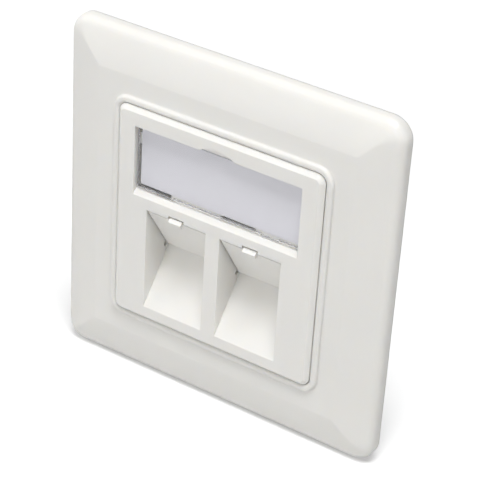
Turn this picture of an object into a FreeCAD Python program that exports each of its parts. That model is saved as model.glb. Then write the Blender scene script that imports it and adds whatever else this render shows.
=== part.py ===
import FreeCAD, Part
import math
import os
import Sketcher

# Two-port keystone faceplate, 80 x 80 mm, with a 50 x 50 mm centre plate.
# X is to the right, Z is up, +Y goes into the wall and the wall surface is Y = 0.
# Heights ("...Top", "...Seat") are measured out of the wall, towards the viewer.

doc = FreeCAD.newDocument("KeystoneFaceplate")

SIZES = {
    # cover frame
    "frameHalf": 40.0, "frameCorner": 4.6, "skirtTop": 1.3,
    "edgeHalfA": 39.89, "edgeTopA": 1.98, "edgeHalfB": 39.58, "edgeTopB": 2.59,
    "edgeHalfC": 39.09, "edgeTopC": 3.08,
    "slopeHalfA": 38.48, "slopeTopA": 3.39, "slopeHalfB": 36.6, "slopeTopB": 3.95,
    "slopeHalfC": 34.7, "slopeTopC": 4.42, "slopeHalfD": 32.8, "slopeTopD": 4.80,
    "plateauHalf": 31.0, "plateauTop": 5.06, "ridgeCorner": 0.2,
    "openingHalf": 25.12, "openingCorner": 2.12, "openingDrop": 0.09,
    "lipHalf": 26.7, "lipCorner": 3.7, "lipTop": 5.75, "lipBevel": 0.4,
    "collarHalf": 27.2, "ledgeHalf": 23.2, "ledgeTop": 2.4, "ledgeBack": 1.05,
    "shallowHalf": 38.3, "shallowTop": 1.45, "middleHalf": 36.3, "middleTop": 2.7,
    "deepHalf": 31.5, "deepTop": 3.4,
    # centre plate
    "plateHalf": 25.0, "plateCorner": 2.0, "plateBack": 2.45, "plateFace": 6.5,
    "plateBevel": 0.95, "plateWall": 1.7, "plateSkin": 1.8,
    # label window bed in the centre plate
    "bedHalf": 20.4, "bedLow": 5.95, "bedHigh": 21.0, "bedFloor": 4.3,
    "bedSkin": 1.0, "bedMargin": 1.2, "bedBevel": 1.0,
    "lowSlotTop": 7.05, "lowSlotA": 12.0, "lowSlotB": 0.6, "lowSlotC": 9.2,
    "midSlotTop": 6.7, "sideSlotIn": 19.6, "sideSlotHigh": 16.2,
    "cornerSlotIn": 19.1, "cornerSlotLow": 18.9, "cornerSlotHigh": 20.9,
    "thumbRadius": 8.6, "thumbHalf": 4.7, "thumbFloor": 5.7,
    "bossPlaceX": 15.0, "bossPlaceZ": 13.5, "bossRound": 3.9, "bossSeat": 1.2,
    "headPocket": 3.05, "headSeat": 2.45, "shankHole": 1.65,
    # ports: a plane leaning back from the face, described by its deep line
    "portTilt": 34.0, "deepY": 1.9, "deepZ": 10.1,
    "portInner": 1.75, "portOuter": 16.75, "portWall": 1.2,
    "portTop": 15.0, "portHead": 16.2, "portBack": 3.2, "portFore": 16.94,
    "rampFore": 6.12, "rampBack": 1.156, "floorFore": 11.86, "floorDrop": 5.54,
    "floorBack": 0.12, "headFore": 1.2,
    "axisBack": 0.7, "axisUp": 1.1, "pinRound": 0.6, "boreRound": 0.65,
    "pinLength": 0.7, "boreDepth": 0.85,
    "slotFore": 0.85, "slotLow": 0.62, "slotHigh": 1.62,
    "notchHalf": 1.95, "notchTop": 2.98, "notchLow": 1.4,
    # dust flaps
    "flapGap": 0.3, "flapThick": 1.4, "flapTop": 14.65, "flapRelief": 0.5,
    "tabHalf": 1.55, "tabFore": 0.75, "tabBack": 0.4, "tabLow": 13.9, "tabHigh": 15.15,
    "portPitch": 9.25,
    # label window and card
    "windowHalf": 20.0, "windowLow": 6.75, "windowHigh": 20.7, "windowBack": 4.9,
    "windowTop": 5.65, "windowRound": 0.6, "lugPlace": 13.0, "lugHalf": 2.1,
    "lugDrop": 0.5, "lugTop": 5.4, "clipHalf": 1.9, "clipPlace": 18.0, "clipReach": 0.1,
    "cardHalf": 19.7, "cardLow": 7.0, "cardHigh": 20.5, "cardBack": 4.3, "cardTop": 4.55,
    # support ring, cut from 1 mm sheet
    "ringHalf": 35.2, "ringCorner": 5.0, "ringThick": 1.0,
    "ringSlotX": 22.0, "ringSlotZ": 24.0, "ringInnerCorner": 3.0,
    "boxHoleX": 30.0, "boxHoleRound": 2.0, "boxSlotHalf": 1.0,
    "nailHole": 28.5, "nailRound": 1.7, "hookX": 12.0, "hookBack": 2.2, "hookThick": 1.0,
    "tapX": 24.0, "tapZ": 8.4, "tapRound": 1.25,
    # module carrier
    "blockHalf": 18.6, "blockFront": 5.6, "blockBack": 15.4, "blockLow": 3.0,
    "blockHigh": 16.9, "keyLow": 1.2, "keyHigh": 15.2, "keyInner": 1.8, "keyOuter": 16.7,
    "catchReach": 1.1, "catchFront": 7.4, "catchBack": 9.2,
    "railOuter": 26.5, "railHalf": 11.4, "railThick": 1.9,
    "cheekOuter": 20.6, "cheekBackLow": 16.3, "cheekBackLowZ": 4.2,
    "cheekBackHigh": 5.2, "cheekBackHighZ": 12.6,
    "pillarRound": 3.4, "pillarBack": 8.5, "pillarCore": 1.45, "coreBack": 7.5,
    "railHole": 1.6,
    # screws
    "plateHeadRound": 2.7, "plateHeadTop": 4.15, "plateShankRound": 1.4, "plateTip": 6.6,
    "carrierHeadRound": 2.6, "carrierHeadBack": 3.5, "carrierShankRound": 1.2,
    "headBevel": 0.5, "driveHalf": 1.35, "driveWidth": 0.32, "driveDepth": 0.9,
}

sheet = doc.addObject("Spreadsheet::Sheet", "Sizes")
for row, (alias, number) in enumerate(SIZES.items(), start=1):
    sheet.set("A%d" % row, alias)
    sheet.set("B%d" % row, str(number))
    sheet.setAlias("B%d" % row, alias)
doc.recompute()


def amount(text):
    """Value of a sum such as '- plateHalf + plateWall'."""
    total, sign = 0.0, 1.0
    for word in text.split():
        if word in ("+", "-"):
            sign = 1.0 if word == "+" else -1.0
        elif word[0].isdigit():
            total += sign * float(word)
        else:
            total += sign * SIZES[word]
    return total


def formula(text):
    """The same sum as an expression that reads the sheet."""
    words = [word if word in ("+", "-") or word[0].isdigit() else "Sizes." + word
             for word in text.split()]
    return " ".join(words)


def negative(text):
    """The same sum with every sign turned."""
    words = text.split()
    if words[0] not in ("+", "-"):
        words.insert(0, "+")
    return " ".join({"+": "-", "-": "+"}.get(word, word) for word in words)


def makeBody(name):
    body = doc.addObject("PartDesign::Body", name)
    body.Label = name
    return body


def originPlane(body, role):
    return next(item for item in body.Origin.OriginFeatures if item.Role == role)


def addSketch(body, name, role, offset):
    """Sketch parallel to an origin plane, 'offset' along that plane's normal."""
    sketch = body.newObject("Sketcher::SketchObject", name)
    sketch.AttachmentSupport = [(originPlane(body, role), "")]
    sketch.MapMode = "FlatFace"
    sketch.setExpression(".AttachmentOffset.Base.z", formula(offset))
    return sketch


def faceSketch(body, name, height):
    """Sketch facing the viewer, 'height' in front of the wall."""
    return addSketch(body, name, "XZ_Plane", height)


def tiltSketch(body, name, offset):
    """Side sketch in the port's own axes: x runs behind the flap, y runs up along it."""
    sketch = addSketch(body, name, "YZ_Plane", offset)
    turn = FreeCAD.Rotation(FreeCAD.Vector(0, 0, 1), SIZES["portTilt"])
    sketch.AttachmentOffset = FreeCAD.Placement(FreeCAD.Vector(), turn)
    sketch.setExpression(".AttachmentOffset.Base.x", "Sizes.deepY")
    sketch.setExpression(".AttachmentOffset.Base.y", "-Sizes.deepZ")
    sketch.setExpression(".AttachmentOffset.Rotation.Angle", "Sizes.portTilt * 1 deg")
    return sketch


def pinPoint(sketch, curve, end, across, up):
    for kind, text in (("DistanceX", across), ("DistanceY", up)):
        index = sketch.addConstraint(
            Sketcher.Constraint(kind, -1, 1, curve, end, amount(text)))
        sketch.setExpression("Constraints[%d]" % index, formula(text))


def setRadius(sketch, curve, text):
    index = sketch.addConstraint(Sketcher.Constraint("Radius", curve, amount(text)))
    sketch.setExpression("Constraints[%d]" % index, formula(text))


def addPolygon(sketch, corners):
    points = [FreeCAD.Vector(amount(across), amount(up), 0) for across, up in corners]
    first = sketch.GeometryCount
    for number, start in enumerate(points):
        stop = points[(number + 1) % len(points)]
        sketch.addGeometry(Part.LineSegment(start, stop), False)
    for number, (across, up) in enumerate(corners):
        pinPoint(sketch, first + number, 1, across, up)
        following = first + (number + 1) % len(corners)
        sketch.addConstraint(
            Sketcher.Constraint("Coincident", first + number, 2, following, 1))


def addRectangle(sketch, left, right, low, high):
    addPolygon(sketch, [(left, low), (right, low), (right, high), (left, high)])


def addSquare(sketch, half):
    addRectangle(sketch, negative(half), half, negative(half), half)


def addCircle(sketch, across, up, radius):
    centre = FreeCAD.Vector(amount(across), amount(up), 0)
    curve = sketch.addGeometry(
        Part.Circle(centre, FreeCAD.Vector(0, 0, 1), amount(radius)), False)
    pinPoint(sketch, curve, 3, across, up)
    setRadius(sketch, curve, radius)


def addBow(sketch, half, level, radius):
    """Shallow bow above a level chord that is centred on the sketch."""
    left = FreeCAD.Vector(-amount(half), amount(level), 0)
    right = FreeCAD.Vector(amount(half), amount(level), 0)
    drop = math.sqrt(amount(radius) ** 2 - amount(half) ** 2)
    crown = FreeCAD.Vector(0, amount(level) + amount(radius) - drop, 0)
    chord = sketch.addGeometry(Part.LineSegment(left, right), False)
    pinPoint(sketch, chord, 1, negative(half), level)
    pinPoint(sketch, chord, 2, half, level)
    bow = sketch.addGeometry(Part.Arc(left, crown, right), False)
    starts = (sketch.getPoint(bow, 1) - left).Length < 1e-6
    near, away = (1, 2) if starts else (2, 1)
    sketch.addConstraint(Sketcher.Constraint("Coincident", bow, near, chord, 1))
    sketch.addConstraint(Sketcher.Constraint("Coincident", bow, away, chord, 2))
    setRadius(sketch, bow, radius)


def addFeature(body, kind, name, sketch, length, backwards=False, middle=False):
    feature = body.newObject("PartDesign::" + kind, name)
    feature.Profile = sketch
    feature.setExpression("Length", formula(length))
    feature.Reversed = backwards
    if middle:
        feature.Midplane = True
    doc.recompute()
    return feature


def pad(body, name, sketch, length, backwards=False, middle=False):
    return addFeature(body, "Pad", name, sketch, length, backwards, middle)


def pocket(body, name, sketch, length, backwards=False, middle=False):
    before = body.Tip.Shape.Volume
    feature = addFeature(body, "Pocket", name, sketch, length, backwards, middle)
    if feature.Shape.Volume > before - 1e-6:
        raise RuntimeError("pocket removes nothing: " + name)
    return feature


def mirror(body, name, features):
    feature = body.newObject("PartDesign::Mirrored", name)
    feature.Originals = features
    feature.MirrorPlane = (originPlane(body, "YZ_Plane"), [""])
    body.Tip = feature
    doc.recompute()
    return feature


def edgesWhere(feature, test):
    found = []
    for number, edge in enumerate(feature.Shape.Edges, start=1):
        if test(edge):
            found.append("Edge%d" % number)
    if not found:
        raise RuntimeError("no edge found on " + feature.Name)
    return found


def dress(body, kind, name, base, size, test):
    """Fillet or chamfer on the edges that pass the test."""
    feature = body.newObject("PartDesign::" + kind, name)
    feature.Base = (base, edgesWhere(base, test))
    field = "Radius" if kind == "Fillet" else "Size"
    feature.setExpression(field, formula(size))
    doc.recompute()
    return feature


def runsAlongY(edge):
    box = edge.BoundBox
    return box.YLength > 0.05 and box.XLength < 1e-4 and box.ZLength < 1e-4


def cornerEdge(halfX, halfZ=None):
    """Test for the four edges along Y at the corners of a centred rectangle."""
    wantX, wantZ = SIZES[halfX], SIZES[halfZ or halfX]

    def test(edge):
        box = edge.BoundBox
        return (runsAlongY(edge) and abs(abs(box.XMin) - wantX) < 1e-3
                and abs(abs(box.ZMin) - wantZ) < 1e-3)
    return test


def flatEdge(height, inside, outside):
    """Test for edges in the plane 'height' whose reach from the centre is in a range."""
    def test(edge):
        box = edge.BoundBox
        reach = max(abs(box.XMin), abs(box.XMax), abs(box.ZMin), abs(box.ZMax))
        return (box.YLength < 1e-4 and abs(box.YMin + height) < 1e-3
                and inside < reach < outside)
    return test


def addRoundedSquare(sketch, half, corner):
    """Four sides joined by corner arcs, drawn clockwise from the top side."""
    flat = half + " " + negative(corner)
    minusHalf, minusFlat = negative(half), negative(flat)
    sides = [((minusFlat, half), (flat, half)), ((half, flat), (half, minusFlat)),
             ((flat, minusHalf), (minusFlat, minusHalf)),
             ((minusHalf, minusFlat), (minusHalf, flat))]
    first = sketch.GeometryCount
    for start, stop in sides:
        ends = [FreeCAD.Vector(amount(across), amount(up), 0) for across, up in (start, stop)]
        curve = sketch.addGeometry(Part.LineSegment(*ends), False)
        pinPoint(sketch, curve, 1, *start)
        pinPoint(sketch, curve, 2, *stop)
    reach, radius = amount(flat), amount(corner)
    diagonal = reach + radius * math.sqrt(0.5)
    turns = [(reach, reach), (reach, -reach), (-reach, -reach), (-reach, reach)]
    for number, (across, up) in enumerate(turns):
        signX, signY = math.copysign(1, across), math.copysign(1, up)
        start = sketch.getPoint(first + number, 2)
        stop = sketch.getPoint(first + (number + 1) % 4, 1)
        crown = FreeCAD.Vector(signX * diagonal, signY * diagonal, 0)
        arc = Part.Arc(start, crown, stop)
        curve = sketch.addGeometry(arc, False)
        begins = (sketch.getPoint(curve, 1) - start).Length < 1e-6
        near, away = (1, 2) if begins else (2, 1)
        sketch.addConstraint(
            Sketcher.Constraint("Coincident", curve, near, first + number, 2))
        sketch.addConstraint(
            Sketcher.Constraint("Coincident", curve, away, first + (number + 1) % 4, 1))
        setRadius(sketch, curve, corner)


def loft(body, name, levels, ruled=False):
    """Skin through rounded squares, each level a half width, corner and height."""
    sketches = []
    for number, (half, corner, height) in enumerate(levels):
        sketch = faceSketch(body, "%sSection%d" % (name, number), height)
        addRoundedSquare(sketch, half, corner)
        sketches.append(sketch)
    feature = body.newObject("PartDesign::AdditiveLoft", name)
    feature.Profile = sketches[0]
    feature.Sections = sketches[1:]
    feature.Ruled = ruled
    doc.recompute()
    return feature


def buildCoverFrame():
    body = makeBody("cover_frame")
    skirt = faceSketch(body, "SkirtOutline", "0")
    addRoundedSquare(skirt, "frameHalf", "frameCorner")
    pad(body, "Skirt", skirt, "skirtTop")
    shrink = "frameCorner - frameHalf + "
    loft(body, "EdgeRounding", [
        ("frameHalf", "frameCorner", "skirtTop"),
        ("edgeHalfA", shrink + "edgeHalfA", "edgeTopA"),
        ("edgeHalfB", shrink + "edgeHalfB", "edgeTopB"),
        ("edgeHalfC", shrink + "edgeHalfC", "edgeTopC"),
        ("slopeHalfA", shrink + "slopeHalfA", "slopeTopA")], ruled=True)
    loft(body, "Slope", [
        ("slopeHalfA", shrink + "slopeHalfA", "slopeTopA"),
        ("slopeHalfB", shrink + "slopeHalfB", "slopeTopB"),
        ("slopeHalfC", "ridgeCorner", "slopeTopC"),
        ("slopeHalfD", "ridgeCorner", "slopeTopD"),
        ("plateauHalf", "ridgeCorner", "plateauTop")])

    lip = faceSketch(body, "LipOutline", "plateauTop - 0.5")
    addRoundedSquare(lip, "lipHalf", "lipCorner")
    pad(body, "Lip", lip, "lipTop - plateauTop + 0.5")
    opening = faceSketch(body, "OpeningOutline", "lipTop + 0.5")
    # the centre plate lies against the opening's upper wall, so the play is below it
    opening.setExpression(".AttachmentOffset.Base.y", "-Sizes.openingDrop")
    addRoundedSquare(opening, "openingHalf", "openingCorner")
    openingCut = pocket(body, "Opening", opening, "lipTop + 0.5 - ledgeTop")
    dress(body, "Chamfer", "LipEdge", openingCut, "lipBevel",
          flatEdge(SIZES["lipTop"], 20, 40))
    through = faceSketch(body, "LedgeOutline", "ledgeTop + 0.5")
    addSquare(through, "ledgeHalf")
    pocket(body, "LedgeOpening", through, "ledgeTop + 1")

    for name, half, top in (("Shallow", "shallowHalf", "shallowTop"),
                            ("Middle", "middleHalf", "middleTop"),
                            ("Deep", "deepHalf", "deepTop")):
        hollow = faceSketch(body, name + "Outline", "0")
        addSquare(hollow, half)
        addSquare(hollow, "collarHalf")
        pocket(body, name + "Hollow", hollow, top, backwards=True)
    seat = faceSketch(body, "SeatOutline", "0")
    addSquare(seat, "collarHalf + 0.1")
    pocket(body, "Seat", seat, "ledgeBack", backwards=True)
    return body


def buildCentrePlate():
    body = makeBody("central_plate")
    outline = faceSketch(body, "PlateOutline", "plateBack")
    addSquare(outline, "plateHalf")
    block = pad(body, "PlateBlock", outline, "plateFace - plateBack")
    rounded = dress(body, "Fillet", "PlateCorners", block, "plateCorner",
                    cornerEdge("plateHalf"))
    dress(body, "Chamfer", "PlateBevel", rounded, "plateBevel",
          flatEdge(SIZES["plateFace"], 20, 26))
    hollow = faceSketch(body, "PlateHollowOutline", "plateBack")
    addSquare(hollow, "plateHalf - plateWall")
    pocket(body, "PlateHollow", hollow, "plateFace - plateBack - plateSkin", backwards=True)
    addLabelBed(body)
    addPorts(body)
    return body


def addLabelBed(body):
    tray = faceSketch(body, "TrayOutline", "bedFloor - bedSkin")
    addRectangle(tray, "- bedHalf - bedMargin", "bedHalf + bedMargin",
                 "bedLow - bedMargin", "bedHigh + bedMargin")
    pad(body, "Tray", tray, "plateFace - plateSkin - bedFloor + bedSkin + 0.5")
    bosses = faceSketch(body, "BossOutline", "bossSeat")
    for side in ("- ", ""):
        addCircle(bosses, side + "bossPlaceX", "bossPlaceZ", "bossRound")
    pad(body, "Bosses", bosses, "bedFloor - bossSeat")
    bed = faceSketch(body, "BedOutline", "plateFace + 0.5")
    addRectangle(bed, "- bedHalf", "bedHalf", "bedLow", "bedHigh")
    bedCut = pocket(body, "Bed", bed, "plateFace + 0.5 - bedFloor")

    def lowerLip(edge):
        box = edge.BoundBox
        return (box.YLength < 1e-4 and abs(box.YMin + SIZES["plateFace"]) < 1e-3
                and box.ZLength < 1e-4 and abs(box.ZMin - SIZES["bedLow"]) < 1e-3)
    dress(body, "Chamfer", "BedLip", bedCut, "bedBevel", lowerLip)
    thumb = faceSketch(body, "ThumbOutline", "plateFace + 0.5")
    addBow(thumb, "thumbHalf", "bedHigh - 0.2", "thumbRadius")
    pocket(body, "ThumbNotch", thumb, "plateFace + 0.5 - thumbFloor")
    slots = faceSketch(body, "LugSlotOutline", "bedFloor + 0.1")
    addRectangle(slots, "- bedHalf", "- lowSlotA", "bedLow", "lowSlotTop")
    addRectangle(slots, "lowSlotB", "lowSlotC", "bedLow", "midSlotTop")
    addRectangle(slots, "cornerSlotIn", "bedHalf", "bedLow", "midSlotTop")
    pocket(body, "LugSlots", slots, "bedSkin + 0.2")
    sides = faceSketch(body, "SideSlotOutline", "bedFloor + 0.1")
    for left, right in (("- bedHalf", "- sideSlotIn"), ("sideSlotIn", "bedHalf")):
        addRectangle(sides, left, right, "bedLow", "sideSlotHigh")
        addRectangle(sides, left, right, "cornerSlotLow", "cornerSlotHigh")
    pocket(body, "SideSlots", sides, "bedSkin + 0.2")
    heads = faceSketch(body, "HeadPocketOutline", "bedFloor + 0.1")
    shanks = faceSketch(body, "ShankHoleOutline", "bedFloor + 0.1")
    for side in ("- ", ""):
        addCircle(heads, side + "bossPlaceX", "bossPlaceZ", "headPocket")
        addCircle(shanks, side + "bossPlaceX", "bossPlaceZ", "shankHole")
    pocket(body, "HeadPockets", heads, "bedFloor + 0.1 - headSeat")
    pocket(body, "ShankHoles", shanks, "bedFloor + 0.2 - bossSeat")


def addPorts(body):
    walls = tiltSketch(body, "PortWallOutline", "0")
    addPolygon(walls, [("headFore", "portHead"), ("portBack", "portHead"),
                       ("portBack", "- floorBack"), ("- floorFore", "- floorDrop")])
    pad(body, "PortWalls", walls, "portOuter + portOuter + portWall + portWall", middle=True)

    recess = tiltSketch(body, "RecessOutline", "portOuter")
    addPolygon(recess, [("- portFore", "portTop"), ("portBack + 1", "portTop"),
                        ("portBack + 1", "rampBack + 0.361"), ("0", "0"),
                        ("- portFore", "- rampFore")])
    recessCut = pocket(body, "Recess", recess, "portOuter - portInner")
    bore = tiltSketch(body, "PinBoreOutline", "portOuter + boreDepth")
    addCircle(bore, "axisBack", "axisUp", "boreRound")
    boreCut = pocket(body, "PinBore", bore, "portOuter - portInner + boreDepth + boreDepth")
    slot = tiltSketch(body, "PinSlotOutline", "portOuter + boreDepth")
    addRectangle(slot, "- slotFore", "axisBack", "slotLow", "slotHigh")
    slotCut = pocket(body, "PinSlot", slot, "portOuter - portInner + boreDepth + boreDepth")
    mirror(body, "SecondPort", [recessCut, boreCut, slotCut])
    notch = faceSketch(body, "TabNotchOutline", "plateFace + 0.5")
    for side in ("- ", ""):
        addRectangle(notch, side + "portPitch - notchHalf", side + "portPitch + notchHalf",
                     "notchLow", "notchTop")
    pocket(body, "TabNotches", notch, "plateSkin + 0.3")


def buildDustFlap(name, side):
    body = makeBody(name)
    inner, outer = "portInner + flapGap", "portOuter - flapGap"
    edge = outer if side > 0 else "- " + inner.replace("+", "-")
    width = "portOuter - portInner - flapGap - flapGap"
    leaf = tiltSketch(body, name + "_leaf", edge)
    addPolygon(leaf, [("0", "axisUp"), ("0", "flapTop"), ("flapThick", "flapTop"),
                      ("flapThick", "axisUp")])
    pad(body, name + "_plate", leaf, width, backwards=True)
    knuckle = tiltSketch(body, name + "_knuckle", edge)
    addCircle(knuckle, "axisBack", "axisUp", "axisBack")
    pad(body, name + "_barrel", knuckle, width, backwards=True)
    pin = tiltSketch(body, name + "_pin", edge + " + pinLength + flapGap")
    addCircle(pin, "axisBack", "axisUp", "pinRound")
    pad(body, name + "_pins", pin, width + " + pinLength + pinLength + flapGap + flapGap",
        backwards=True)
    centre = "portPitch" if side > 0 else "- portPitch"
    tab = tiltSketch(body, name + "_tab", centre + " + tabHalf")
    addRectangle(tab, "- tabFore", "tabBack", "tabLow", "tabHigh")
    pad(body, name + "_finger", tab, "tabHalf + tabHalf", backwards=True)
    hollow = tiltSketch(body, name + "_relief", edge + " - 1.3")
    addRectangle(hollow, "flapThick - flapRelief", "flapThick + 0.5", "axisUp + 1.4",
                 "flapTop - 1.6")
    pocket(body, name + "_saving", hollow, width + " - 2.6")
    return body


def buildLabelWindow():
    body = makeBody("label_window")
    pane = faceSketch(body, "PaneOutline", "windowBack")
    addRectangle(pane, "- windowHalf", "windowHalf", "windowLow", "windowHigh")
    paneBlock = pad(body, "Pane", pane, "windowTop - windowBack")

    def corner(edge):
        return runsAlongY(edge)
    dress(body, "Fillet", "PaneCorners", paneBlock, "windowRound", corner)
    lugs = faceSketch(body, "LugOutline", "windowBack")
    for side in ("- ", ""):
        addRectangle(lugs, side + "lugPlace - lugHalf", side + "lugPlace + lugHalf",
                     "windowLow - lugDrop", "windowLow + 0.5")
    pad(body, "Lugs", lugs, "lugTop - windowBack")
    clips = faceSketch(body, "ClipOutline", "windowBack")
    addRectangle(clips, "- windowHalf - clipReach", "- windowHalf + 0.5",
                 "clipPlace - clipHalf", "clipPlace")
    addRectangle(clips, "windowHalf - 0.5", "windowHalf + clipReach",
                 "clipPlace - clipHalf", "clipPlace")
    pad(body, "Clips", clips, "lugTop - windowBack")
    return body


def buildLabelCard():
    body = makeBody("label_card")
    card = faceSketch(body, "CardOutline", "cardBack")
    addRectangle(card, "- cardHalf", "cardHalf", "cardLow", "cardHigh")
    pad(body, "Card", card, "cardTop - cardBack")
    return body


def buildSupportRing():
    body = makeBody("support_ring")
    outline = faceSketch(body, "RingOutline", "0")
    addSquare(outline, "ringHalf")
    blank = pad(body, "RingBlank", outline, "ringThick")
    rounded = dress(body, "Fillet", "RingCorners", blank, "ringCorner", cornerEdge("ringHalf"))
    opening = faceSketch(body, "RingOpeningOutline", "ringThick + 0.5")
    addRectangle(opening, "- ringSlotX", "ringSlotX", "- ringSlotZ", "ringSlotZ")
    cut = pocket(body, "RingOpening", opening, "ringThick + 1")
    dress(body, "Fillet", "RingOpeningCorners", cut, "ringInnerCorner",
          cornerEdge("ringSlotX", "ringSlotZ"))
    holes = faceSketch(body, "RingHoleOutline", "ringThick + 0.5")
    for sideX in ("- ", ""):
        for sideZ in ("- ", ""):
            addCircle(holes, sideX + "nailHole", sideZ + "nailHole", "nailRound")
            addCircle(holes, sideX + "tapX", sideZ + "tapZ", "tapRound")
    pocket(body, "RingHoles", holes, "ringThick + 1")
    addBoxSlots(body)
    hooks = faceSketch(body, "HookOutline", "- hookBack")
    addRectangle(hooks, "- hookX", "hookX", "ringSlotZ", "ringSlotZ + hookThick")
    addRectangle(hooks, "- hookX", "hookX", "- ringSlotZ - hookThick", "- ringSlotZ")
    pad(body, "Stiffeners", hooks, "hookBack + 0.2")
    return body


def addBoxSlots(body):
    """Round-ended slots, 60 mm apart, for the screws of the wall box."""
    for place, turned in (("Side", False), ("Top", True)):
        slots = faceSketch(body, place + "SlotOutline", "ringThick + 0.5")
        ends = faceSketch(body, place + "SlotEnds", "ringThick + 0.5")
        for side in ("- ", ""):
            reach = (side + "boxHoleX - boxSlotHalf", side + "boxHoleX + boxSlotHalf")
            width = ("- boxHoleRound", "boxHoleRound")
            spans = (width + reach) if turned else (reach + width)
            addRectangle(slots, *spans)
            if turned:
                addCircle(ends, "0", reach[0], "boxHoleRound")
            else:
                addCircle(ends, reach[0], "0", "boxHoleRound")
        pocket(body, place + "Slots", slots, "ringThick + 1")
        pocket(body, place + "SlotNear", ends, "ringThick + 1")
        far = faceSketch(body, place + "SlotFarEnds", "ringThick + 0.5")
        for side in ("- ", ""):
            stop = side + "boxHoleX + boxSlotHalf"
            addCircle(far, *(("0", stop) if turned else (stop, "0")), "boxHoleRound")
        pocket(body, place + "SlotFar", far, "ringThick + 1")


def buildModuleCarrier():
    body = makeBody("module_carrier")
    block = tiltSketch(body, "BlockOutline", "0")
    addRectangle(block, "blockFront", "blockBack", "- blockLow", "blockHigh")
    pad(body, "Block", block, "blockHalf + blockHalf", middle=True)
    cheek = addSketch(body, "CheekOutline", "YZ_Plane", "blockHalf - 0.5")
    addPolygon(cheek, [("0", "- railHalf"), ("railThick", "- railHalf"),
                       ("cheekBackLow", "- cheekBackLowZ"),
                       ("cheekBackHigh", "cheekBackHighZ"), ("railThick", "railHalf"),
                       ("0", "railHalf")])
    cheekPad = pad(body, "Cheek", cheek, "cheekOuter - blockHalf + 0.5")
    rail = faceSketch(body, "RailOutline", "- railThick")
    addRectangle(rail, "blockHalf - 0.5", "railOuter", "- railHalf", "railHalf")
    railPad = pad(body, "Rail", rail, "railThick")
    pillar = faceSketch(body, "PillarOutline", "- pillarBack")
    addCircle(pillar, "bossPlaceX", "bossPlaceZ", "pillarRound")
    pillarPad = pad(body, "Pillar", pillar, "pillarBack + bossSeat")
    mirror(body, "OtherSide", [cheekPad, railPad, pillarPad])

    opening = tiltSketch(body, "KeyOpeningOutline", "keyOuter")
    addRectangle(opening, "blockFront - 4", "blockBack + 4", "- keyLow", "keyHigh")
    openingCut = pocket(body, "KeyOpening", opening, "keyOuter - keyInner")
    mirror(body, "OtherOpening", [openingCut])
    catches = tiltSketch(body, "CatchOutline", "0")
    addRectangle(catches, "catchFront", "catchBack", "- keyLow - 0.5",
                 "- keyLow + catchReach")
    addRectangle(catches, "catchFront", "catchBack", "keyHigh - catchReach",
                 "keyHigh + 0.5")
    pad(body, "Catches", catches, "keyOuter + keyOuter", middle=True)

    holes = faceSketch(body, "CarrierHoleOutline", "0.5")
    cores = faceSketch(body, "CoreOutline", "bossSeat + 0.5")
    for side in ("- ", ""):
        addCircle(cores, side + "bossPlaceX", "bossPlaceZ", "pillarCore")
        for level in ("- ", ""):
            addCircle(holes, side + "tapX", level + "tapZ", "railHole")
    pocket(body, "CarrierHoles", holes, "railThick + 1")
    pocket(body, "Cores", cores, "coreBack + bossSeat + 0.5")
    return body


def driveCross(body, name, places, height, backwards):
    """Cross recesses in screw heads, one at each place."""
    for turned in (False, True):
        label = name + ("Upright" if turned else "Level")
        slots = faceSketch(body, label + "Outline", height)
        for across, up in places:
            long = (across + " - driveHalf", across + " + driveHalf")
            short = (up + " - driveWidth", up + " + driveWidth")
            if turned:
                long = (across + " - driveWidth", across + " + driveWidth")
                short = (up + " - driveHalf", up + " + driveHalf")
            addRectangle(slots, *long, *short)
        pocket(body, label, slots, "driveDepth", backwards)


def buildPlateScrews():
    body = makeBody("plate_screws")
    places = [(side + "bossPlaceX", "bossPlaceZ") for side in ("- ", "")]
    shanks = faceSketch(body, "PlateShankOutline", "- plateTip")
    heads = faceSketch(body, "PlateHeadOutline", "headSeat")
    for across, up in places:
        addCircle(shanks, across, up, "plateShankRound")
        addCircle(heads, across, up, "plateHeadRound")
    pad(body, "PlateShanks", shanks, "plateTip + headSeat + 0.2")
    pad(body, "PlateHeads", heads, "plateHeadTop - headSeat")
    driveCross(body, "PlateDrive", places, "plateHeadTop", False)
    return body


def buildCarrierScrews():
    body = makeBody("carrier_screws")
    places = [(side + "tapX", level + "tapZ") for side in ("- ", "") for level in ("- ", "")]
    shanks = faceSketch(body, "CarrierShankOutline", "- railThick - 0.2")
    heads = faceSketch(body, "CarrierHeadOutline", "- carrierHeadBack")
    for across, up in places:
        addCircle(shanks, across, up, "carrierShankRound")
        addCircle(heads, across, up, "carrierHeadRound")
    pad(body, "CarrierShanks", shanks, "railThick + 0.2 + ringThick")
    headPad = pad(body, "CarrierHeads", heads, "carrierHeadBack - railThick")
    dress(body, "Chamfer", "CarrierHeadBevel", headPad, "headBevel",
          flatEdge(-SIZES["carrierHeadBack"], 10, 30))
    driveCross(body, "CarrierDrive", places, "- carrierHeadBack", True)
    return body


nodes = [
    buildSupportRing(),
    buildModuleCarrier(),
    buildCarrierScrews(),
    buildCoverFrame(),
    buildCentrePlate(),
    buildPlateScrews(),
    buildLabelCard(),
    buildLabelWindow(),
    buildDustFlap("dust_flap_left", -1),
    buildDustFlap("dust_flap_right", 1),
]

doc.recompute()
for item in doc.Objects:
    if "Invalid" in item.State or "Error" in item.State:
        raise RuntimeError("feature in error: " + item.Name)
os.makedirs("parts", exist_ok=True)
for node in nodes:
    shape = node.Shape
    if shape.isNull() or not shape.isValid():
        raise RuntimeError("bad shape: " + node.Label)
    shape.exportStep("parts/%s.step" % node.Label)
    print(node.Label, "%.1f mm3" % shape.Volume, len(shape.Solids), "solids")
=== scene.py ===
import bpy
import math
from mathutils import Matrix, Vector

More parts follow.
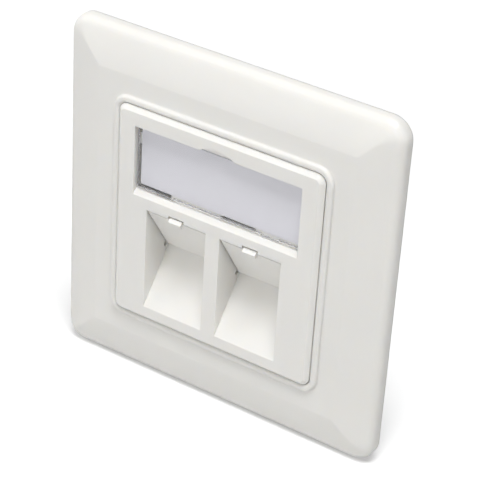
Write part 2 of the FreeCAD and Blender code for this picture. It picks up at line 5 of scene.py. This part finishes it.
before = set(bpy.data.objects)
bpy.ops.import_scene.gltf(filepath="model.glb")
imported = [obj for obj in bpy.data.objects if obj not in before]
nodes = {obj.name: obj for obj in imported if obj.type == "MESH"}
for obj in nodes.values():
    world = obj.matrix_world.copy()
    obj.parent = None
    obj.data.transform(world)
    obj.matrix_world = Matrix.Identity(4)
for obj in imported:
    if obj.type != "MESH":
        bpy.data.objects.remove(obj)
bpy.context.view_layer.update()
print("stage: frame loaded")


def addNode(tree, kind, **settings):
    node = tree.nodes.new(kind)
    for name, value in settings.items():
        setattr(node, name, value)
    return node


def setInputs(node, **values):
    for name, value in values.items():
        node.inputs[name.replace("_", " ")].default_value = value


def newGroup(name, inputs, outputs):
    group = bpy.data.node_groups.new(name, "ShaderNodeTree")
    for label, kind, value in inputs:
        socket = group.interface.new_socket(label, in_out="INPUT", socket_type=kind)
        if value is not None:
            socket.default_value = value
    for label, kind in outputs:
        group.interface.new_socket(label, in_out="OUTPUT", socket_type=kind)
    return group, addNode(group, "NodeGroupInput"), addNode(group, "NodeGroupOutput")


def mixColours(tree, factor, first, second):
    mix = addNode(tree, "ShaderNodeMix", data_type="RGBA")
    for socket, value in ((mix.inputs["Factor"], factor), (mix.inputs[6], first),
                          (mix.inputs[7], second)):
        if isinstance(value, bpy.types.NodeSocket):
            tree.links.new(value, socket)
        else:
            socket.default_value = value
    return mix.outputs[2]


def calculate(tree, operation, *values):
    node = addNode(tree, "ShaderNodeMath", operation=operation)
    for socket, value in zip(node.inputs, values):
        if isinstance(value, bpy.types.NodeSocket):
            tree.links.new(value, socket)
        else:
            socket.default_value = value
    return node.outputs[0]


def mapRange(tree, value, low, high, newLow, newHigh):
    node = addNode(tree, "ShaderNodeMapRange")
    for label, given in (("Value", value), ("From Min", low), ("From Max", high),
                         ("To Min", newLow), ("To Max", newHigh)):
        if isinstance(given, bpy.types.NodeSocket):
            tree.links.new(given, node.inputs[label])
        else:
            node.inputs[label].default_value = given
    return node.outputs["Result"]


def objectNoise(tree, scale, detail=3.0, roughness=0.5):
    place = addNode(tree, "ShaderNodeTexCoord")
    noise = addNode(tree, "ShaderNodeTexNoise")
    tree.links.new(place.outputs["Object"], noise.inputs["Vector"])
    setInputs(noise, Scale=scale, Detail=detail, Roughness=roughness)
    return noise.outputs["Fac"]


noiseMiddle = (0.3, 0.7)  # where most of a noise's values lie

grainSizes = {
    "grain": 5200.0,  # spark-eroded tool skin, about 0.2 mm
    "flow": 55.0,  # slow shade where the plastic flowed, about 20 mm
    "speck": 900.0,  # patches of finer and coarser gloss, about 1 mm
}


def makeMouldedSkin(sizes):
    # the fine skin of a moulded part: colour with a faint flow shade, gloss and height
    group, source, target = newGroup(
        "mouldedSkin",
        [("Colour", "NodeSocketColor", None), ("Flow", "NodeSocketFloat", 0.02),
         ("Grain", "NodeSocketFloat", 0.5), ("Gloss Low", "NodeSocketFloat", 0.3),
         ("Gloss High", "NodeSocketFloat", 0.4)],
        [("Colour", "NodeSocketColor"), ("Roughness", "NodeSocketFloat"),
         ("Height", "NodeSocketFloat")])
    flow = calculate(group, "SUBTRACT", objectNoise(group, sizes["flow"], detail=2.0), 0.5)
    shade = addNode(group, "ShaderNodeHueSaturation")
    group.links.new(source.outputs["Colour"], shade.inputs["Color"])
    group.links.new(calculate(group, "MULTIPLY_ADD", flow, source.outputs["Flow"], 1.0),
                    shade.inputs["Value"])
    group.links.new(shade.outputs["Color"], target.inputs["Colour"])
    grain = objectNoise(group, sizes["grain"], detail=2.0, roughness=0.6)
    group.links.new(calculate(group, "MULTIPLY", grain, source.outputs["Grain"]),
                    target.inputs["Height"])
    speck = objectNoise(group, sizes["speck"], detail=4.0, roughness=0.6)
    group.links.new(mapRange(group, speck, *noiseMiddle, source.outputs["Gloss Low"],
                             source.outputs["Gloss High"]), target.inputs["Roughness"])
    return group


edgeBend = (0.86, 0.999)  # cosine between true and rounded normal: full mask, no mask


def makeEdgeTint(bend):
    # mask of the outer edges, where plastic thins and metal is rubbed bright
    group, source, target = newGroup(
        "edgeTint", [("Reach", "NodeSocketFloat", 0.0004)], [("Mask", "NodeSocketFloat")])
    bevel = addNode(group, "ShaderNodeBevel", samples=4)
    group.links.new(source.outputs["Reach"], bevel.inputs["Radius"])
    surface = addNode(group, "ShaderNodeNewGeometry")
    dot = addNode(group, "ShaderNodeVectorMath", operation="DOT_PRODUCT")
    group.links.new(bevel.outputs["Normal"], dot.inputs[0])
    group.links.new(surface.outputs["Normal"], dot.inputs[1])
    group.links.new(mapRange(group, dot.outputs["Value"], *bend, 1.0, 0.0),
                    target.inputs["Mask"])
    return group


dustRange = {
    "upward": (0.35, 0.95),  # height of the normal at which dust starts and is full
    "patch": (0.35, 0.65),
}


def makeSettledDust(sizes):
    # mask of faces that look up, broken up by noise
    group, source, target = newGroup(
        "settledDust", [("Scale", "NodeSocketFloat", 300.0)], [("Mask", "NodeSocketFloat")])
    surface = addNode(group, "ShaderNodeNewGeometry")
    parts = addNode(group, "ShaderNodeSeparateXYZ")
    group.links.new(surface.outputs["Normal"], parts.inputs[0])
    upward = mapRange(group, parts.outputs["Z"], *sizes["upward"], 0.0, 1.0)
    place = addNode(group, "ShaderNodeTexCoord")
    noise = addNode(group, "ShaderNodeTexNoise")
    group.links.new(place.outputs["Object"], noise.inputs["Vector"])
    group.links.new(source.outputs["Scale"], noise.inputs["Scale"])
    patch = mapRange(group, noise.outputs["Fac"], *sizes["patch"], 0.0, 1.0)
    group.links.new(calculate(group, "MULTIPLY", upward, patch), target.inputs["Mask"])
    return group


mouldedSkin = makeMouldedSkin(grainSizes)
edgeTint = makeEdgeTint(edgeBend)
settledDust = makeSettledDust(dustRange)


def newMaterial(name):
    material = bpy.data.materials.new(name)
    material.use_nodes = True
    tree = material.node_tree
    return material, tree, tree.nodes["Principled BSDF"]


def addBump(tree, shader, height, distance, strength, soften=None):
    bump = addNode(tree, "ShaderNodeBump")
    setInputs(bump, Distance=distance, Strength=strength)
    tree.links.new(height, bump.inputs["Height"])
    if soften:
        bevel = addNode(tree, "ShaderNodeBevel", samples=6)
        bevel.inputs["Radius"].default_value = soften
        tree.links.new(bevel.outputs["Normal"], bump.inputs["Normal"])
    tree.links.new(bump.outputs["Normal"], shader.inputs["Normal"])


def placeGroup(tree, group, **values):
    node = addNode(tree, "ShaderNodeGroup", node_tree=group)
    setInputs(node, **values)
    return node


def makeMoulded(name, look):
    material, tree, shader = newMaterial(name)
    glossLow, glossHigh = look["gloss"]
    skin = placeGroup(tree, mouldedSkin, Colour=look["colour"] + (1.0,), Flow=look["flow"],
                      Grain=look["grain"], Gloss_Low=glossLow, Gloss_High=glossHigh)
    edge = placeGroup(tree, edgeTint, Reach=look["edgeReach"])
    dust = placeGroup(tree, settledDust, Scale=look["dustScale"])
    lifted = mixColours(tree, calculate(tree, "MULTIPLY", edge.outputs["Mask"],
                                        look["edgeLift"]),
                        skin.outputs["Colour"], look["edgeColour"] + (1.0,))
    colour = mixColours(tree, calculate(tree, "MULTIPLY", dust.outputs["Mask"],
                                        look["dust"]),
                        lifted, look["dustColour"] + (1.0,))
    tree.links.new(colour, shader.inputs["Base Color"])
    tree.links.new(skin.outputs["Roughness"], shader.inputs["Roughness"])
    addBump(tree, shader, skin.outputs["Height"], look["depth"], look["bump"],
            look["soften"])
    setInputs(shader, IOR=look["index"], Subsurface_Weight=look["scatter"],
              Subsurface_Radius=look["scatterReach"], Subsurface_Scale=1.0)
    return material


frameLook = {
    "colour": (0.80, 0.79, 0.76), "flow": 0.03, "grain": 0.6, "gloss": (0.34, 0.42),
    "edgeReach": 0.0005, "edgeLift": 0.35, "edgeColour": (0.84, 0.83, 0.79),
    "dust": 0.10, "dustScale": 260.0, "dustColour": (0.74, 0.72, 0.68),
    "depth": 0.00003, "bump": 0.25, "soften": 0.0007, "index": 1.49,
    "scatter": 0.35, "scatterReach": (0.0015, 0.0013, 0.0010),
}
plateLook = dict(frameLook, colour=(0.80, 0.79, 0.762), gloss=(0.32, 0.40),
                 soften=0.00016)
flapLook = dict(frameLook, colour=(0.815, 0.80, 0.765), gloss=(0.38, 0.48),
                soften=0.0001)
carrierLook = dict(frameLook, colour=(0.30, 0.31, 0.32), gloss=(0.45, 0.58), flow=0.06,
                   edgeColour=(0.36, 0.37, 0.38), bump=0.5, soften=0.00016, scatter=0.0)


def makeSteel(name, look):
    material, tree, shader = newMaterial(name)
    place = addNode(tree, "ShaderNodeTexCoord")
    flakes = addNode(tree, "ShaderNodeTexVoronoi", feature="F1")
    tree.links.new(place.outputs["Object"], flakes.inputs["Vector"])
    flakes.inputs["Scale"].default_value = look["flakes"]
    tone = addNode(tree, "ShaderNodeSeparateColor")
    tree.links.new(flakes.outputs["Color"], tone.inputs["Color"])
    spangle = mixColours(tree, tone.outputs["Red"], look["dark"] + (1.0,),
                         look["light"] + (1.0,))
    edge = placeGroup(tree, edgeTint, Reach=look["edgeReach"])
    colour = mixColours(tree, calculate(tree, "MULTIPLY", edge.outputs["Mask"],
                                        look["edgeLift"]),
                        spangle, look["edge"] + (1.0,))
    tree.links.new(colour, shader.inputs["Base Color"])
    setInputs(shader, Metallic=1.0)
    smear = objectNoise(tree, look["smear"], detail=4.0, roughness=0.6)
    tree.links.new(mapRange(tree, smear, *noiseMiddle, *look["gloss"]),
                   shader.inputs["Roughness"])
    pits = objectNoise(tree, look["pits"], detail=3.0, roughness=0.6)
    addBump(tree, shader, pits, look["depth"], look["bump"], look["soften"])
    return material


ringLook = {
    "flakes": 260.0, "dark": (0.50, 0.52, 0.54), "light": (0.66, 0.67, 0.68),
    "edge": (0.74, 0.75, 0.76), "edgeReach": 0.0004, "edgeLift": 0.6,
    "smear": 130.0, "gloss": (0.28, 0.45),
    "pits": 2600.0, "depth": 0.00002, "bump": 0.3, "soften": 0.00012,
}
screwLook = dict(ringLook, flakes=1400.0, dark=(0.56, 0.56, 0.55), light=(0.68, 0.68, 0.67),
                 gloss=(0.22, 0.36))


def makeCard(look):
    material, tree, shader = newMaterial("labelCard")
    fibre = objectNoise(tree, look["fibre"], detail=5.0, roughness=0.65)
    mottle = objectNoise(tree, look["mottle"], detail=2.0)
    base = mixColours(tree, mapRange(tree, mottle, *look["patch"], 0.0, 1.0),
                      look["cool"] + (1.0,), look["warm"] + (1.0,))
    tree.links.new(base, shader.inputs["Base Color"])
    tree.links.new(mapRange(tree, fibre, *noiseMiddle, *look["gloss"]),
                   shader.inputs["Roughness"])
    addBump(tree, shader, fibre, look["depth"], look["bump"])
    return material


cardLook = {
    "fibre": 2400.0, "gloss": (0.65, 0.85), "depth": 0.00004, "bump": 0.35,
    "mottle": 90.0, "patch": (0.35, 0.65),
    "cool": (0.765, 0.76, 0.795), "warm": (0.78, 0.775, 0.815),
}


def makeClear(look):
    # clear moulding: light for the card passes straight through, other rays are bent
    material, tree, shader = newMaterial("clearWindow")
    surface = addNode(tree, "ShaderNodeNewGeometry")
    parts = addNode(tree, "ShaderNodeSeparateXYZ")
    tree.links.new(surface.outputs["Normal"], parts.inputs[0])
    facing = calculate(tree, "ABSOLUTE", parts.outputs["Y"])
    # one on the frosted narrow sides, which also get a painted shade: their grey colour
    # stands in for the shadowed wall between the card and the bevel
    edge = mapRange(tree, facing, *look["edgeTurn"], 1.0, 0.0)
    smear = objectNoise(tree, look["smear"], detail=4.0, roughness=0.6)
    polish = mapRange(tree, smear, *look["smearRange"], *look["gloss"])
    tree.links.new(mapRange(tree, edge, 0.0, 1.0, polish, look["edgeGloss"]),
                   shader.inputs["Roughness"])
    # painted shade: the narrow sides are mixed towards grey, standing in for the shadow
    # under the card
    tintWithPaintedShade = mixColours(tree, edge, look["colour"] + (1.0,), look["edgeColour"] + (1.0,))
    tree.links.new(tintWithPaintedShade, shader.inputs["Base Color"])
    setInputs(shader, IOR=look["index"], Transmission_Weight=1.0)
    ripple = objectNoise(tree, look["ripple"], detail=2.0)
    addBump(tree, shader, ripple, look["depth"], look["bump"])
    through = addNode(tree, "ShaderNodeBsdfTransparent")
    tree.links.new(tintWithPaintedShade, through.inputs["Color"])
    path = addNode(tree, "ShaderNodeLightPath")
    mix = addNode(tree, "ShaderNodeMixShader")
    straight = calculate(tree, "MAXIMUM", path.outputs["Is Shadow Ray"],
                         path.outputs["Is Diffuse Ray"])
    tree.links.new(straight, mix.inputs["Fac"])
    tree.links.new(shader.outputs["BSDF"], mix.inputs[1])
    tree.links.new(through.outputs["BSDF"], mix.inputs[2])
    tree.links.new(mix.outputs["Shader"], tree.nodes["Material Output"].inputs["Surface"])
    return material


windowLook = {
    "smear": 60.0, "smearRange": (0.35, 0.7), "gloss": (0.02, 0.06),
    "colour": (0.98, 0.98, 0.985), "index": 1.2,
    "ripple": 700.0, "depth": 0.00001, "bump": 0.05,
    "edgeTurn": (0.4, 0.8),  # how far a face looks along Y: narrow side, pane
    # edgeColour here is painted shade: a grey on the narrow sides standing in for the
    # shadowed wall under the card
    "edgeGloss": 0.6, "edgeColour": (0.48, 0.48, 0.49),
}


def paint(name, material):
    slots = nodes[name].data.materials
    if not slots:
        slots.append(material)
    for index in range(len(slots)):
        slots[index] = material


flapPlastic = makeMoulded("flapPlastic", flapLook)
screwZinc = makeSteel("screwZinc", screwLook)
finishes = {
    "cover_frame": makeMoulded("framePlastic", frameLook),
    "central_plate": makeMoulded("platePlastic", plateLook),
    "module_carrier": makeMoulded("carrierPlastic", carrierLook),
    "support_ring": makeSteel("ringZinc", ringLook),
    "label_card": makeCard(cardLook),
    "label_window": makeClear(windowLook),
    "dust_flap_left": flapPlastic,
    "dust_flap_right": flapPlastic,
    "plate_screws": screwZinc,
    "carrier_screws": screwZinc,
}
for nodeName, finish in finishes.items():
    paint(nodeName, finish)
print("stage: materials set")


view = {
    "azimuth": 32.22, "elevation": 31.08, "roll": 3.60, "distance": 0.4030,
    "aimX": 0.00265, "aimZ": -0.00056, "lens": 145.5, "sensor": 36.0, "nearest": 0.01,
}


def addCamera(sizes):
    azimuth, elevation = math.radians(sizes["azimuth"]), math.radians(sizes["elevation"])
    roll = math.radians(sizes["roll"])
    toward = Vector((math.sin(azimuth) * math.cos(elevation),
                     -math.cos(azimuth) * math.cos(elevation), math.sin(elevation)))
    level = Vector((math.cos(azimuth), math.sin(azimuth), 0.0))
    upward = toward.cross(level)
    right = math.cos(roll) * level + math.sin(roll) * upward
    top = math.cos(roll) * upward - math.sin(roll) * level
    place = Vector((sizes["aimX"], 0.0, sizes["aimZ"])) + toward * sizes["distance"]
    data = bpy.data.cameras.new("camera")
    data.lens = sizes["lens"]
    data.sensor_width = sizes["sensor"]
    data.clip_start = sizes["nearest"]
    camera = bpy.data.objects.new("camera", data)
    turn = Matrix((right, top, toward)).transposed().to_4x4()
    camera.matrix_world = Matrix.Translation(place) @ turn
    bpy.context.scene.collection.objects.link(camera)
    bpy.context.scene.camera = camera


addCamera(view)
print("stage: camera set")


studio = {
    "floorHeight": -0.0405, "floorReach": 3.0, "floorColour": (0.98, 0.98, 0.98),
    "floorBounce": (0.60, 0.60, 0.60), "floorRoughness": 0.9,
    "floorLift": 0.2,  # own light of the floor near the plate
    "farFrom": 0.16, "farTo": 0.8,  # over this distance the floor turns as white as the sky
    "sky": 0.02,
}
lamps = {
    "key": {"place": (0.2, -0.26, 0.94), "size": 0.42, "power": 7.9},
    "highBack": {"place": (-0.3, 0.2, 0.94), "size": 0.6, "power": 1.2},
    "right": {"place": (1.0, 0.05, 0.3), "size": 0.6, "power": 1.6},
    "left": {"place": (-0.9, -0.3, 0.45), "size": 0.6, "power": 2.4},
    "front": {"place": (0.05, -1.0, 0.15), "size": 0.8, "power": 4.9},
}


def addLamp(name, sizes):
    data = bpy.data.lights.new(name, "AREA")
    data.size = sizes["size"]
    data.energy = sizes["power"]
    lamp = bpy.data.objects.new(name, data)
    place = Vector(sizes["place"])
    lamp.location = place
    lamp.rotation_euler = (-place).to_track_quat("-Z", "Y").to_euler()
    bpy.context.scene.collection.objects.link(lamp)


def seenRays(tree):
    # one for rays that show the studio itself: straight on, mirrored or through glass
    path = addNode(tree, "ShaderNodeLightPath")
    return calculate(tree, "MAXIMUM", path.outputs["Is Camera Ray"],
                     calculate(tree, "MAXIMUM", path.outputs["Is Glossy Ray"],
                               path.outputs["Is Transmission Ray"]))


def addFloor(sizes):
    bpy.ops.object.select_all(action="DESELECT")
    bpy.ops.mesh.primitive_plane_add(size=sizes["floorReach"],
                                     location=(0.0, 0.0, sizes["floorHeight"]))
    floor = bpy.context.object
    floor.name = "floor"
    material, tree, shader = newMaterial("floorPaper")
    # white to look at, greyer in the light it throws back
    path = addNode(tree, "ShaderNodeLightPath")
    paper = mixColours(tree, path.outputs["Is Camera Ray"], sizes["floorBounce"] + (1.0,),
                       sizes["floorColour"] + (1.0,))
    tree.links.new(paper, shader.inputs["Base Color"])
    setInputs(shader, Roughness=sizes["floorRoughness"])
    shader.inputs["Emission Color"].default_value = (1.0, 1.0, 1.0, 1.0)
    place = addNode(tree, "ShaderNodeTexCoord")
    away = addNode(tree, "ShaderNodeVectorMath", operation="LENGTH")
    tree.links.new(place.outputs["Object"], away.inputs[0])
    lift = mapRange(tree, away.outputs["Value"], sizes["farFrom"], sizes["farTo"],
                    sizes["floorLift"], 1.0)
    tree.links.new(calculate(tree, "MULTIPLY", seenRays(tree), lift),
                   shader.inputs["Emission Strength"])
    floor.data.materials.append(material)


def addWorld(sizes):
    world = bpy.data.worlds.new("studio")
    world.use_nodes = True
    tree = world.node_tree
    background = tree.nodes["Background"]
    tree.links.new(mapRange(tree, seenRays(tree), 0.0, 1.0, sizes["sky"], 1.0),
                   background.inputs["Strength"])
    background.inputs["Color"].default_value = (1.0, 1.0, 1.0, 1.0)
    bpy.context.scene.world = world


addFloor(studio)
addWorld(studio)
for lampName, lampSizes in lamps.items():
    addLamp(lampName, lampSizes)
bpy.context.scene.view_settings.view_transform = "Standard"
print("stage: studio set")
